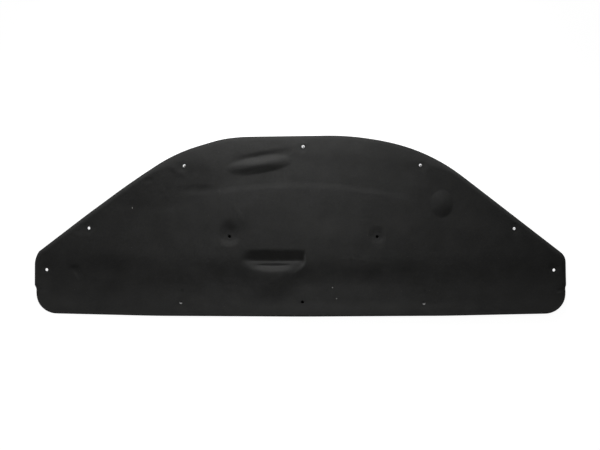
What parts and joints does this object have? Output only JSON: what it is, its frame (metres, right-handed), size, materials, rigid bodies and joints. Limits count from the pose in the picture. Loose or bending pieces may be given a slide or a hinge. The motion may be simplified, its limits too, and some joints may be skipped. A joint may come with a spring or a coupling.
{
  "type": "hood insulation pad",
  "caption": "Moulded black felt-faced insulation pad for the underside of a car hood, with a pressed rim, clip holes, a blister, a dome and a relief pocket.",
  "frame": {"origin": "centre of the bounding box, on the flat back that lies on the surface", "axes": "+X along the pad, +Y from the straight front edge to the crowned rear edge, +Z out of the moulded face"},
  "size_m": [1.3914, 0.474, 0.0196],
  "materials": {
    "black_felt": "matt black needled nonwoven over pressed glass wool"
  },
  "bodies": {
    "root": {"insulation_pad": "black_felt"}
  },
  "joints": []
}
